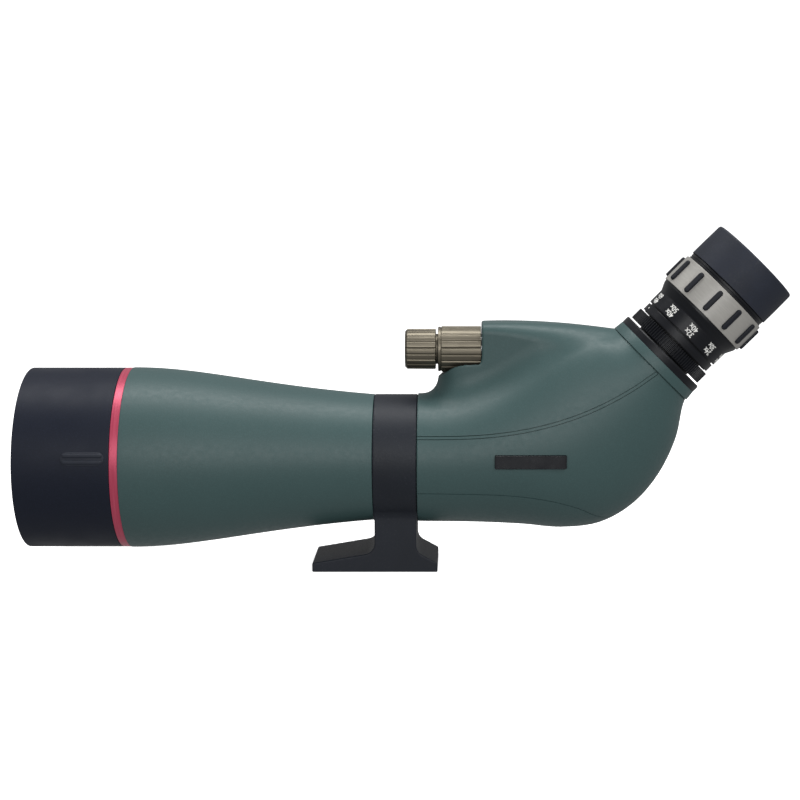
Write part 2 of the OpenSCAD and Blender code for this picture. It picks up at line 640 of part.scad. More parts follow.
tripod_collar();
foot_bush();
collar_liner();
lock_pad();
lock_screw();
hood();
hood_grips();
front_tube();
hood_guide_band();
lens_cell();
lens_seal();
front_objective_lens();
objective_spacer();
rear_objective_lens();
lens_retainer();
name_ring();
barrel();
light_baffles();
centre_tube();
front_rod_plate();
rear_rod_plate();
guide_rods();
focus_carriage();
focus_lens();
focus_lens_retainer();
coarse_knob();
coarse_shaft();
fine_knob();
fine_shaft();
reduction_balls();
reducer_race();
focus_bearing();
body_housing();
badge();
roof_prism();
prism_bracket();
prism_clips();
prism_screws();
eyepiece_socket();
eyepiece_barrel();
field_lens();
lock_ring();
index_ring();
number_ring();
zoom_grip();
zoom_pads();
zoom_cam();
front_zoom_cell();
front_zoom_lens();
rear_zoom_cell();
rear_zoom_lens();
trim_ring();
eye_lens_cell();
eye_lens();
eyecup_sleeve();
eyecup();
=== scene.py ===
"""Looks of the spotting scope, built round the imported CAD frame.

Shapes are worked out in millimetres with heights measured from the optical axis, then placed in metres.
"""

import json
import math

import bpy
import numpy as np
import openvdb
from mathutils import Matrix, Vector


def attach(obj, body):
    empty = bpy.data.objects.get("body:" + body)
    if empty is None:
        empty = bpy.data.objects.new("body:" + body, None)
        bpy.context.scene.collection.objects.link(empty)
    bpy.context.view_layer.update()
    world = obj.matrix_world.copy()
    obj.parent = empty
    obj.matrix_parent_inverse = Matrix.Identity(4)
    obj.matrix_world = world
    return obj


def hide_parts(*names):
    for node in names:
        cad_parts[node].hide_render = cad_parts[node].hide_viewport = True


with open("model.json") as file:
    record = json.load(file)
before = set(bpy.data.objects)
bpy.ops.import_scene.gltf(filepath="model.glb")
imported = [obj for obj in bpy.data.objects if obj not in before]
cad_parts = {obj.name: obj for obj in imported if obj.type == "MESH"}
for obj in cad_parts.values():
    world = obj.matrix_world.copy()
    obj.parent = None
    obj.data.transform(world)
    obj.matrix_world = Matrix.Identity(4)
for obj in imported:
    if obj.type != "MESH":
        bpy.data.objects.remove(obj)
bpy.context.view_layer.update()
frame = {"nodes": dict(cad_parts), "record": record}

MM = 0.001
AXIS_H = 58.0            # optical axis above the foot's underside
KNOB_Z = 57.8            # knobs' axis above the optical axis
LIP = (138.6, 53.6)      # centre of the housing's round lip, x and height above the optical axis
LIP_R = 26.8
LIP_STUB = 5.3           # length of the round lip
COLLAR_R = 33.4
COLLAR_HALF = 11.45      # half the collar's length along the optical axis
FAN_X = 11.6             # the housing's sections turn about a line at (FAN_X, FAN_Z)
FAN_Z = sum(LIP) - LIP_STUB * math.sqrt(2) - FAN_X
WALL = 2.5               # thickness of the housing's wall

# Frames whose Z runs along the optical axis, the knobs, the eyepiece and the lock screw.
AXIS = Matrix.Translation((0, 0, AXIS_H)) @ Matrix.Rotation(math.radians(90), 4, "Y")
KNOBS = Matrix.Translation((0, 0, AXIS_H + KNOB_Z)) @ Matrix.Rotation(math.radians(90), 4, "Y")
EYEPIECE = Matrix.Translation((LIP[0], 0, AXIS_H + LIP[1])) @ Matrix.Rotation(math.radians(45), 4, "Y")
LOCK = Matrix.Translation((0, 0, AXIS_H)) @ Matrix.Rotation(math.radians(-90), 4, "X")


# ---------------------------------------- materials

def tone(red, green, blue):
    """Linear colour of an sRGB colour given as 0 to 255."""
    def linear(c):
        c /= 255
        return c / 12.92 if c <= 0.04045 else ((c + 0.055) / 1.055) ** 2.4
    return (linear(red), linear(green), linear(blue), 1.0)


class Finish:
    """A node material with short calls. Coordinates are the object's own, in metres."""

    def __init__(self, name, color, roughness=0.5, metallic=0.0, **sockets):
        self.mat = bpy.data.materials.new(name)
        self.mat.use_nodes = True
        self.tree = self.mat.node_tree
        self.tree.nodes.clear()
        self.out = self.tree.nodes.new("ShaderNodeOutputMaterial")
        self.bsdf = self.tree.nodes.new("ShaderNodeBsdfPrincipled")
        self.tree.links.new(self.bsdf.outputs[0], self.out.inputs["Surface"])
        self.color = color
        self.set("Base Color", color)
        self.set("Roughness", roughness)
        self.set("Metallic", metallic)
        for key, value in sockets.items():
            self.set(key.replace("_", " "), value)
        self.coord = self.tree.nodes.new("ShaderNodeTexCoord").outputs["Object"]
        self.height = None

    def set(self, socket, value):
        self.bsdf.inputs[socket].default_value = value

    def link(self, a, b):
        self.tree.links.new(a, b)

    def node(self, kind, **inputs):
        made = self.tree.nodes.new("ShaderNode" + kind)
        for key, value in inputs.items():
            made.inputs[key.replace("_", " ")].default_value = value
        return made

    def along(self, place, stretch):
        """Object coordinates turned into a frame, then stretched, for marks that follow a turned part."""
        turn = self.node("VectorRotate")
        turn.rotation_type = "EULER_XYZ"
        turn.inputs["Rotation"].default_value = place.to_3x3().inverted().to_euler()
        scale = self.node("Mapping", Scale=stretch)
        self.link(self.coord, turn.inputs["Vector"])
        self.link(turn.outputs[0], scale.inputs["Vector"])
        return scale.outputs[0]

    def noise(self, scale, detail=2.0, rough=0.5, coord=None):
        made = self.node("TexNoise", Scale=scale, Detail=detail, Roughness=rough)
        self.link(coord or self.coord, made.inputs["Vector"])
        return made.outputs["Fac"]

    def spread(self, value, low, high, start=0.3, end=0.7):
        made = self.node("MapRange", From_Min=start, From_Max=end, To_Min=low, To_Max=high)
        self.link(value, made.inputs["Value"])
        return made.outputs[0]

    def vary_roughness(self, value, low, high, start=0.3, end=0.7):
        self.link(self.spread(value, low, high, start, end), self.bsdf.inputs["Roughness"])
        return self

    def mix(self, value, other, start=0.3, end=0.7):
        """Blends the base colour towards another as value goes from start to end."""
        mixer = self.tree.nodes.new("ShaderNodeMix")
        mixer.data_type = "RGBA"
        source = self.bsdf.inputs["Base Color"]
        if source.is_linked:
            self.link(source.links[0].from_socket, mixer.inputs["A"])
        else:
            mixer.inputs["A"].default_value = self.color
        mixer.inputs["B"].default_value = other
        self.link(self.spread(value, 0, 1, start, end), mixer.inputs["Factor"])
        self.link(mixer.outputs["Result"], source)
        return self

    def bump(self, value, depth_mm, strength=1.0):
        made = self.node("Bump", Strength=strength, Distance=depth_mm * MM)
        self.link(value, made.inputs["Height"])
        if self.height is not None:
            self.link(self.height, made.inputs["Normal"])
        self.height = made.outputs[0]
        self.link(self.height, self.bsdf.inputs["Normal"])
        return self


def shade(color, factor):
    return tuple(c * factor for c in color[:3]) + (1.0,)


def coated_green():
    base = tone(58, 81, 81)
    f = Finish("green_coating", base, 0.43, Specular_IOR_Level=0.35)
    fine = f.noise(1500, 3, 0.6)
    f.mix(f.noise(14, 2), shade(base, 0.9)).mix(fine, shade(base, 1.16), 0.45, 0.8)
    f.vary_roughness(f.noise(420, 2), 0.4, 0.5)
    return f.bump(fine, 0.012).mat


def satin_black(name, color, roughness, grain=1700, depth=0.008):
    f = Finish(name, color, roughness, Specular_IOR_Level=0.2)
    fine = f.noise(grain, 3, 0.6)
    f.mix(fine, shade(color, 1.7), 0.5, 0.85)
    f.vary_roughness(f.noise(60, 3), roughness - 0.05, roughness + 0.07)
    return f.bump(fine, depth).mat


def cast_black():
    base = tone(24, 29, 38)
    f = Finish("cast_black", base, 0.5, Specular_IOR_Level=0.3)
    grain = f.noise(1500, 4, 0.65)
    f.mix(grain, tone(66, 68, 74), 0.56, 0.88).mix(f.noise(35, 2), shade(base, 0.8))
    f.vary_roughness(grain, 0.42, 0.62)
    return f.bump(grain, 0.05).mat


def turned_black(name, place, color, roughness):
    """Black anodised metal with the faint rings that turning leaves."""
    f = Finish(name, color, roughness, 0.0, Specular_IOR_Level=0.25)
    rings = f.noise(1.0, 2, 0.5, f.along(place, (60, 60, 4200)))
    f.mix(rings, shade(color, 1.9), 0.45, 0.8)
    f.vary_roughness(f.noise(90, 3), roughness - 0.05, roughness + 0.08)
    return f.bump(rings, 0.006).mat


def gunmetal():
    base = tone(112, 106, 93)
    f = Finish("gunmetal", base, 0.42, 0.9)
    brush = f.noise(1.0, 3, 0.6, f.along(KNOBS, (2600, 2600, 60)))
    f.mix(brush, tone(84, 80, 71), 0.4, 0.75).mix(f.noise(45, 2), tone(118, 112, 99))
    f.vary_roughness(brush, 0.34, 0.52)
    return f.bump(brush, 0.01).mat


def grip_paint():
    base = tone(158, 156, 151)
    f = Finish("grip_paint", base, 0.4, 0.15)
    brush = f.noise(1.0, 3, 0.6, f.along(EYEPIECE, (140, 140, 3600)))
    f.mix(f.noise(70, 3), tone(147, 145, 141)).mix(brush, tone(170, 168, 163), 0.5, 0.8)
    f.vary_roughness(brush, 0.33, 0.48)
    return f.bump(brush, 0.006).mat


def moulded_rubber(name, base):
    f = Finish(name, base, 0.6, Specular_IOR_Level=0.35)
    grain = f.noise(1300, 4, 0.6)
    f.mix(grain, shade(base, 1.8), 0.5, 0.85).mix(f.noise(55, 3), shade(base, 0.75))
    f.vary_roughness(grain, 0.52, 0.74)
    return f.bump(grain, 0.03).mat


def rose_ring():
    base = tone(178, 62, 88)
    f = Finish("rose_anodised", base, 0.36, 0.35)
    rings = f.noise(1.0, 2, 0.5, f.along(AXIS, (40, 40, 3800)))
    f.mix(rings, tone(196, 84, 108), 0.45, 0.8)
    f.vary_roughness(rings, 0.28, 0.44)
    return f.bump(rings, 0.006).mat


def gloss_plate():
    base = tone(18, 20, 25)
    f = Finish("badge_gloss", base, 0.22)
    f.mix(f.noise(900, 2), shade(base, 1.5), 0.5, 0.85)
    f.vary_roughness(f.noise(160, 3), 0.18, 0.3)
    return f.bump(f.noise(700, 2), 0.004).mat


def plain_metal(name, color, roughness, place=AXIS):
    f = Finish(name, color, roughness, 1.0)
    rings = f.noise(1.0, 3, 0.55, f.along(place, (80, 80, 3000)))
    f.mix(rings, shade(color, 0.7), 0.4, 0.8)
    f.vary_roughness(rings, roughness - 0.08, roughness + 0.1)
    return f.bump(rings, 0.006).mat


def soft_plastic(name, color, roughness, grain, depth):
    f = Finish(name, color, roughness)
    fine = f.noise(grain, 4, 0.6)
    f.mix(fine, shade(color, 0.7), 0.4, 0.8)
    f.vary_roughness(fine, roughness - 0.06, min(roughness + 0.1, 1.0))
    return f.bump(fine, depth).mat


def coated_glass():
    f = Finish("coated_glass", (0.93, 0.98, 0.95, 1), 0.0, Transmission_Weight=1.0, IOR=1.52,
               Thin_Film_Thickness=360.0, Thin_Film_IOR=1.38)
    f.mix(f.noise(30, 2), (0.88, 0.97, 0.93, 1))
    return f.mat


def white_paint():
    base = tone(232, 232, 228)
    f = Finish("scale_paint", base, 0.5)
    f.mix(f.noise(1200, 3), shade(base, 0.85), 0.5, 0.85)
    return f.bump(f.noise(900, 3), 0.01).mat


MATERIALS = {
    "green_armour": coated_green(),
    "black_casting": cast_black(),
    "hood_black": satin_black("hood_black", tone(19, 24, 37), 0.5),
    "black_alloy": turned_black("black_alloy", EYEPIECE, tone(12, 14, 19), 0.38),
    "black_rubber": moulded_rubber("moulded_rubber", tone(31, 36, 48)),
    "rose_anodised": rose_ring(),
    "gunmetal": gunmetal(),
    "grey_paint": grip_paint(),
    "badge_black": gloss_plate(),
    "steel": plain_metal("steel", tone(190, 190, 192), 0.28),
    "bare_alloy": plain_metal("bare_alloy", tone(178, 180, 184), 0.4),
    "brass": plain_metal("brass", tone(196, 164, 98), 0.3, EYEPIECE),
    "nylon": soft_plastic("nylon", tone(226, 222, 208), 0.5, 800, 0.02),
    "felt": soft_plastic("felt", tone(52, 52, 54), 0.9, 2500, 0.12),
    "lens_glass": coated_glass(),
}
SCALE_PAINT = white_paint()
PAD_RUBBER = moulded_rubber("pad_rubber", tone(13, 17, 27))
SLOT_OF = {p["node"]: p["material_slot"] for p in frame["record"]["subparts"]}
BODY_OF = {n: b for b, listed in frame["record"]["behaviour"]["bodies"].items() for n in listed}

for name, node in frame["nodes"].items():
    node.data.materials.clear()
    node.data.materials.append(MATERIALS[SLOT_OF[name]])


# ---------------------------------------- meshes

def new_piece(name, points, faces, slot, body, node=None, place=None, sharp=35, material=None):
    """Adds a closed mesh, given in millimetres, as a piece on a body."""
    mesh = bpy.data.meshes.new(name)
    if place is not None:
        points = [place @ Vector(p) for p in points]
    mesh.from_pydata([Vector(p) * MM for p in points], [], faces)
    mesh.validate()
    mesh.update()
    return dress(bpy.data.objects.new(name, mesh), slot, body, node, sharp, material)


def dress(obj, slot, body, node=None, sharp=35, material=None):
    """Links the object, gives it its finish and its body, and hides the CAD node it stands for."""
    bpy.context.scene.collection.objects.link(obj)
    obj.data.materials.clear()
    obj.data.materials.append(material or MATERIALS[slot])
    obj.data.shade_smooth()
    if sharp:
        obj.data.set_sharp_from_angle(angle=math.radians(sharp))
    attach(obj, body)
    if node:
        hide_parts(node)
    return obj


def rounded(points, radius, steps=3):
    """Profile polygon with its corners rounded. A fourth entry in a point is its own radius."""
    out = []
    count = len(points)
    for i, here in enumerate(points):
        r = here[2] if len(here) > 2 else radius
        p, a, b = (np.array(q[:2], float) for q in (here, points[i - 1], points[(i + 1) % count]))
        into, away = a - p, b - p
        la, lb = np.linalg.norm(into), np.linalg.norm(away)
        into, away = into / la, away / lb
        half = math.acos(max(-1, min(1, float(into @ away)))) / 2
        if r <= 0 or half > math.radians(86):
            out.append(tuple(p))
            continue
        reach = min(r / math.tan(half), 0.45 * la, 0.45 * lb)
        start, end = p + into * reach, p + away * reach
        for k in range(steps + 1):
            t = k / steps
            out.append(tuple((1 - t) ** 2 * start + 2 * t * (1 - t) * p + t * t * end))
    return out


def turned(name, node, place, profile, segments=160, radius=0.25, relief=None, sharp=35, steps=3, extra=()):
    """Replaces a turned CAD node by a lathed closed profile of (radius, height), with its corners rounded.

    relief(angle, r, z) returns how much a point is cut in towards the axis.
    """
    loop = rounded(profile, radius, steps)
    for z, low in extra:
        loop = split_profile(loop, z, low)
    count = len(loop)
    points, faces = [], []
    for s in range(segments):
        a = 2 * math.pi * s / segments
        for r, z in loop:
            cut = relief(a, r, z) if relief else 0
            points.append(((r - cut) * math.cos(a), (r - cut) * math.sin(a), z))
    for s in range(segments):
        t = (s + 1) % segments
        for i in range(count):
            j = (i + 1) % count
            faces.append((s * count + i, t * count + i, t * count + j, s * count + j))
    if profile_area(loop) > 0:
        faces = [f[::-1] for f in faces]
    piece = new_piece(name, points, faces, SLOT_OF[node], BODY_OF[node], node, place, sharp)
    weigh = piece.modifiers.new("normals", "WEIGHTED_NORMAL")
    weigh.keep_sharp = True
    return piece


def split_profile(loop, z, low):
    """Adds a point to the profile where its outer edge crosses height z, beyond radius low."""
    out = []
    for i, (r, h) in enumerate(loop):
        out.append((r, h))
        r2, h2 = loop[(i + 1) % len(loop)]
        if (h - z) * (h2 - z) < -1e-9 and min(r, r2) > low:
            out.append((r + (r2 - r) * (z - h) / (h2 - h), z))
    return out


def profile_area(loop):
    return 0.5 * sum(a[0] * b[1] - b[0] * a[1] for a, b in zip(loop, loop[1:] + loop[:1]))


def pulse(angle, count, share, soft):
    """Groove shape round a knob: 1 in the groove, 0 on the rib, with soft sides.

    share is the groove's part of one rib's turn.
    """
    phase = abs((angle * count / (2 * math.pi)) % 1 - 0.5)
    t = (share / 2 + soft / 2 - phase) / soft
    t = max(0.0, min(1.0, t))
    return t * t * (3 - 2 * t)


def cubic(p, t):
    """Points at t on the cubic curve with four control points."""
    p, t = np.array(p, float), np.asarray(t, float)[:, None]
    s = 1 - t
    return s ** 3 * p[0] + 3 * t * s * s * p[1] + 3 * t * t * s * p[2] + t ** 3 * p[3]


def ease(t):
    """Goes from 0 to 1 with level ends."""
    t = np.clip(t, 0, 1)
    return t * t * (3 - 2 * t)


# ---------------------------------------- solids from distance fields

def smooth_min(a, b, k):
    h = np.clip(0.5 + 0.5 * (b - a) / k, 0, 1)
    return b + (a - b) * h - k * h * (1 - h)


def smooth_max(a, b, k):
    return -smooth_min(-a, -b, k)


def box_corner(a, b, r):
    """Distance to the inside of a square corner of two half spaces, rounded by r."""
    a, b = a + r, b + r
    return np.hypot(np.maximum(a, 0), np.maximum(b, 0)) + np.minimum(np.maximum(a, b), 0) - r


def gradient(field, p, step=0.02):
    out = np.empty_like(p)
    for axis in range(3):
        d = np.zeros(3)
        d[axis] = step
        out[:, axis] = (field(*(p + d).T) - field(*(p - d).T)) / (2 * step)
    return out


def unit(v):
    """Rows of vectors, each brought to length 1."""
    return v / np.maximum(np.linalg.norm(v, axis=1, keepdims=True), 1e-9)


def onto(field, p, rounds=4):
    """Moves points onto the surface of a field."""
    for _ in range(rounds):
        g = gradient(field, p)
        size = np.maximum((g * g).sum(1), 0.05)
        move = (field(*p.T) / size)[:, None] * g
        length = np.linalg.norm(move, axis=1, keepdims=True)
        p = p - move * np.minimum(1, 0.5 / np.maximum(length, 1e-9))
    return p


def field_mesh(name, field, low, high, voxel):
    """Closed quad mesh of the surface where field is 0, in metres and in the row frame."""
    axes = [np.arange(a, b + voxel, voxel) for a, b in zip(low, high)]
    grid = np.empty([len(a) for a in axes], np.float32)
    for i, x in enumerate(axes[0]):
        y, z = np.meshgrid(axes[1], axes[2], indexing="ij")
        grid[i] = field(np.full_like(y, x), y, z)
    volume = openvdb.FloatGrid()
    volume.background = 10.0
    volume.copyFromArray(grid)
    points, quads = volume.convertToQuads(0.0)
    points = onto(field, points.astype(float) * voxel + np.array(low))
    points[:, 2] += AXIS_H
    mesh = bpy.data.meshes.new(name)
    mesh.from_pydata((points * MM).tolist(), [], quads.tolist())
    mesh.validate()
    mesh.update()
    if signed_volume(points, quads) < 0:
        mesh.flip_normals()
    return mesh


def signed_volume(points, quads):
    a, b, c, d = (points[quads[:, i]] for i in range(4))
    return (np.einsum("ij,ij->i", a, np.cross(b, c)) + np.einsum("ij,ij->i", a, np.cross(c, d))).sum()


def band_faces(rings, n):
    """Quads between each ring of n points and the next."""
    sides = [(j, (j + 1) % n) for j in range(n)]
    return [(b + j, b + k, b + n + k, b + n + j) for b in range(0, (rings - 1) * n, n) for j, k in sides]


def loft_mesh(name, rings):
    """Closed mesh through rings of points in millimetres, in the row frame."""
    n = len(rings[0])
    points = [tuple(c * MM for c in p) for r in rings for p in r]
    faces = [tuple(range(n))[::-1], tuple((len(rings) - 1) * n + j for j in range(n)),
             *band_faces(len(rings), n)]
    mesh = bpy.data.meshes.new(name)
    mesh.from_pydata(points, [], faces)
    mesh.update()
    p = np.array(points)
    tri = np.array([(f[0], f[k], f[k + 1]) for f in faces for k in range(1, len(f) - 1)])
    if np.einsum("ij,ij->i", p[tri[:, 0]], np.cross(p[tri[:, 1]], p[tri[:, 2]])).sum() < 0:
        mesh.flip_normals()
    return mesh


def tube_mesh(name, place, radius, start, end, count=96):
    rings = []
    for z in (start, end):
        rings.append([tuple(place @ Vector((radius * math.cos(t), radius * math.sin(t), z)))
                      for t in (2 * math.pi * k / count for k in range(count))])
    return loft_mesh(name, rings)


def ring_mesh(name, place, section, count=240):
    """Closed ring round a frame's axis through a section of (radius, height) points."""
    points, faces, n = [], [], len(section)
    for k in range(count):
        a = 2 * math.pi * k / count
        points += [place @ Vector((r * math.cos(a), r * math.sin(a), z)) * MM for r, z in section]
        here, following = n * k, n * ((k + 1) % count)
        faces += [(here + i, following + i, following + (i + 1) % n, here + (i + 1) % n) for i in range(n)]
    mesh = bpy.data.meshes.new(name)
    mesh.from_pydata(points, [], faces)
    if signed_volume(np.array(points), np.array(faces)) < 0:
        mesh.flip_normals()
    return mesh


def combined(mesh, others, operation):
    """The mesh joined with the others, or less the others."""
    scene = bpy.context.scene.collection
    body = bpy.data.objects.new("combined_body", mesh)
    scene.objects.link(body)
    tools = []
    for i, other in enumerate(others):
        tool = bpy.data.objects.new(f"tool_{i}", other)
        scene.objects.link(tool)
        tools.append(tool)
        mod = body.modifiers.new(f"step_{i}", "BOOLEAN")
        mod.operation = operation
        mod.solver = "MANIFOLD"
        mod.object = tool
    result = bpy.data.meshes.new_from_object(body.evaluated_get(bpy.context.evaluated_depsgraph_get()))
    for o in [body, *tools]:
        bpy.data.objects.remove(o)
    return result


def cut(mesh, cutters):
    return combined(mesh, cutters, "DIFFERENCE")


def read(items, key, width=1, kind=float):
    """One value or vector of every item of a mesh, as an array."""
    values = np.empty(len(items) * width, kind)
    items.foreach_get(key, values)
    return values.reshape(-1, width) if width > 1 else values


def smooth_to_field(mesh, field, close=0.08, facing=0.8):
    """Gives faces that lie on the field's surface its own smooth normals, and leaves cut faces flat."""
    to_axis = np.array([0, 0, AXIS_H])
    normal = unit(gradient(field, read(mesh.vertices, "co", 3) / MM - to_axis))
    centre = read(mesh.polygons, "center", 3) / MM - to_axis
    flat = read(mesh.polygons, "normal", 3)
    same_way = (unit(gradient(field, centre)) * flat).sum(1) > facing
    skin = (np.abs(field(*centre.T)) < close) & same_way
    mesh.polygons.foreach_set("use_smooth", np.ones(len(mesh.polygons), bool))
    corner_vertex = read(mesh.loops, "vertex_index", kind=int)
    face_of_corner = np.repeat(np.arange(len(mesh.polygons)), read(mesh.polygons, "loop_total", kind=int))
    chosen = np.where(skin[face_of_corner][:, None], normal[corner_vertex], flat[face_of_corner])
    mesh.normals_split_custom_set(chosen.tolist())
    return mesh


# ---------------------------------------- prism housing

BELLY = 34.1             # depth of the level front part of the underside
HEEL_X, HEEL = 92.0, 37.5   # the lowest place of the housing
HEEL_LEAN = 5.0          # by which the back leans away from upright below the lip
DIP_START, DIP_END = 60.0, 12.0   # handles of the gentle dip towards the heel
ROUND_HANDLE = 0.55      # handle of a cubic curve that turns like a quarter circle
FRONT_HALF = 33.9        # radius of the round front edge
SIDE_SWELL = 6.0         # by which the sides stand out between front edge and lip
SHOULDER = 16.0          # by which the back rises beside the hump
END_R = LIP_R - 0.7      # the lip stands a little proud of the housing
LIP_RHO = (LIP[0] - FAN_X) * math.sqrt(2) - LIP_STUB   # from the turning line to the eyepiece's axis
HUMP_FRONT, HUMP_END = 22.3, 118.0
HUMP_CREST = 72.4        # height above the optical axis


def underside():
    """Section angles and distances of the underside: a dip to the heel, then a round turn to the lip."""
    end_x = FAN_X + (LIP_RHO + END_R) / math.sqrt(2)
    end_z = FAN_Z - (LIP_RHO + END_R) / math.sqrt(2)
    dip = [(FAN_X, -BELLY), (FAN_X + DIP_START, -BELLY), (HEEL_X - DIP_END, -HEEL), (HEEL_X, -HEEL)]
    turn = [(HEEL_X, -HEEL), (HEEL_X + ROUND_HANDLE * (end_x - HEEL_X), -HEEL),
            (end_x - HEEL_LEAN, end_z - ROUND_HANDLE * (end_z + HEEL)), (end_x, end_z)]
    p = np.vstack([cubic(dip, np.linspace(0, 1, 21)[:-1]), cubic(turn, np.linspace(0, 1, 21))])
    away, drop = p[:, 0] - FAN_X, FAN_Z - p[:, 1]
    return np.degrees(np.arctan2(away, drop)), np.hypot(away, drop)


def section_rows():
    """Rows of section angle, top, bottom and half width, as distances from the turning line."""
    angle = np.arange(0, 50, 5.0)
    t = angle / 45
    top = (FAN_Z - FRONT_HALF) * (1 - t) + (LIP_RHO - END_R) * t - SHOULDER * np.sin(math.pi * t * t)
    half = FRONT_HALF * (1 - t) + END_R * t + SIDE_SWELL * np.sin(math.pi * t ** 1.1)
    return np.stack([angle, top, np.interp(angle, *underside()), half], 1)


def hump_shape(x):
    """Half width, top and edge radius of the hump that carries the focus drive."""
    half = 12.6 - 5 * np.clip(1 - (x - 22) / 16, 0, 1) ** 2 + 4 * ease((x - 38) / 60)
    top = HUMP_CREST - 3.8 * ((x - 60) / 55) ** 2
    edge = 5 + 10.5 * ease((x - 38) / 77)
    return half, top, edge


def hump_blend(x):
    """Size of the soft hollow beside the hump, which tightens to a crease at the lip."""
    return np.interp(x, (HUMP_FRONT, 75, 108), (11, 8, 1.2))


SECTIONS = section_rows()
POCKET_R = 13.8          # trough that the knobs lie in
POCKET_END = 45.3        # flat wall behind the coarse knob
BEARING_WALL = 4.2       # depth of that wall


def row_at(table, t, column):
    """Smooth value of a column between the rows of a table, at row position t."""
    i = np.clip(np.floor(t).astype(int), 0, len(table) - 2)
    f = t - i
    c = table[:, column]
    a, b, d, e = c[np.maximum(i - 1, 0)], c[i], c[i + 1], c[np.minimum(i + 2, len(c) - 1)]
    return b + 0.5 * f * ((d - a) + f * ((2 * a - 5 * b + 4 * d - e) + f * (3 * (b - d) + e - a)))


def section_at(x, z):
    """Distance from the turning line, and the section's top, bottom and half width there."""
    away, drop = x - FAN_X, FAN_Z - z
    t = np.clip(np.degrees(np.arctan2(away, drop)) / 5, 0, len(SECTIONS) - 1)
    return np.hypot(away, drop), row_at(SECTIONS, t, 1), row_at(SECTIONS, t, 2), row_at(SECTIONS, t, 3)


def main_field(x, y, z):
    rho, top, bottom, half = section_at(x, z)
    tall = (bottom - top) / 2
    u, v = (rho - (top + bottom) / 2) / tall, y / half
    k1 = np.hypot(u, v)
    k2 = np.hypot(u / tall, v / half)
    return k1 * (k1 - 1) / np.maximum(k2, 1e-4)


def eyepiece_coords(x, y, z):
    along = ((x - LIP[0]) + (z - LIP[1])) / math.sqrt(2)
    across = ((x - LIP[0]) - (z - LIP[1])) / math.sqrt(2)
    return along, np.hypot(across, y)


def hump_field(x, y, z):
    """The hump with its round nose, from inside the main body up."""
    half, top, edge = hump_shape(x)
    edge = np.minimum(edge, half - 0.2)
    nose = 9.0
    inside_body = 15
    back = np.clip(HUMP_FRONT + nose - x, 0, None)
    side = np.where(back > 0, np.hypot(back, np.maximum(np.abs(y) - (half - nose), 0)) - nose,
                    np.abs(y) - half)
    return np.maximum(np.maximum(box_corner(side, z - top, edge), inside_body - z), x - HUMP_END)


def shell_field(x, y, z):
    """The housing without its lip."""
    u, _ = eyepiece_coords(x, y, z)
    main = np.maximum(main_field(x, y, z), u + LIP_STUB)
    body = smooth_min(main, hump_field(x, y, z), hump_blend(x))
    body = box_corner(np.maximum(body, u + LIP_STUB), FAN_X - x, 0.35)
    trough = np.minimum(np.hypot(y, z - KNOB_Z) - POCKET_R, np.maximum(np.abs(y) - 30, KNOB_Z - z))
    trough = smooth_max(trough, x - POCKET_END, 2.5)
    return smooth_max(body, -trough, 1.3)


def housing_field(x, y, z):
    u, r = eyepiece_coords(x, y, z)
    lip = np.maximum(box_corner(r - lip_radius(u), u, 0.35), -LIP_STUB - u)
    return np.minimum(shell_field(x, y, z), lip)


def lip_radius(u):
    return LIP_R - 0.11 * (u + LIP_STUB)


def lip_ring():
    """The round lip under the eyepiece."""
    top = lip_radius(0)
    return ring_mesh("lip", EYEPIECE, rounded([
        (LIP_R - WALL, -LIP_STUB - 2, 0), (LIP_R - WALL, 0.0, 0.2), (top, 0.0, 0.35),
        (LIP_R, -LIP_STUB, 0.2), (END_R - 0.6, -LIP_STUB - 0.01, 0), (END_R - 0.6, -LIP_STUB - 2, 0)], 0, 4))


def side_point(field, x, z, side=-1):
    """The outermost point of the field at (x, z), on one side."""
    low, high = 0.0, 45.0
    for _ in range(30):
        mid = (low + high) / 2
        if float(field(np.array([x]), np.array([side * mid]), np.array([z]))[0]) < 0:
            low = mid
        else:
            high = mid
    return np.array([x, side * low, z])


def spline(points, step=0.8):
    """Points every step along a smooth curve through the given ones."""
    p = np.array(points, float)
    t = np.arange(0, len(p) - 1, 0.02)
    fine = np.stack([row_at(p, t, c) for c in range(3)], 1)
    fine = np.vstack([fine, p[-1]])
    length = np.concatenate([[0], np.cumsum(np.linalg.norm(np.diff(fine, axis=0), axis=1))])
    want = np.linspace(0, length[-1], int(length[-1] / step) + 1)
    return np.stack([np.interp(want, length, fine[:, c]) for c in range(3)], 1), want


def frame_along(field, p):
    """Surface normals and sideways directions along a row of points on the field."""
    normal = unit(gradient(field, p))
    return normal, unit(np.cross(normal, np.gradient(p, axis=0)))


def double_line(field, anchors, gap):
    """Path of a groove that runs out on one side of a curve, turns round its end and comes back."""
    p, _ = spline(anchors, 1.0)
    p = onto(field, p, 6)
    normal, across = frame_along(field, p)
    ahead = np.cross(across[-1], normal[-1])
    tip = [p[-1] + gap * (math.cos(t) * across[-1] + math.sin(t) * ahead)
           for t in np.linspace(0, math.pi, 9)[1:-1]]
    return onto(field, np.vstack([p + gap * across, tip, (p - gap * across)[::-1]]), 6)


def groove_mesh(name, field, path, width, depth):
    """Cutter for a groove that narrows towards its bottom and follows a path on the field."""
    normal, across = frame_along(field, path)
    rings = []
    for q, n, a in zip(path, normal, across):
        corners = [q + a * width + n, q + a * width * 0.3 - n * depth,
                   q - a * width * 0.3 - n * depth, q - a * width + n]
        rings.append([(c[0], c[1], c[2] + AXIS_H) for c in corners])
    return loft_mesh(name, rings)


def upper_line():
    """Side view of the upper line: level at the front, rising ever more steeply to the lip."""
    x = np.linspace(FAN_X + 0.6, 135, 12)
    return zip(x, 15 + 33 * ((x - FAN_X) / (135 - FAN_X)) ** 2.6)


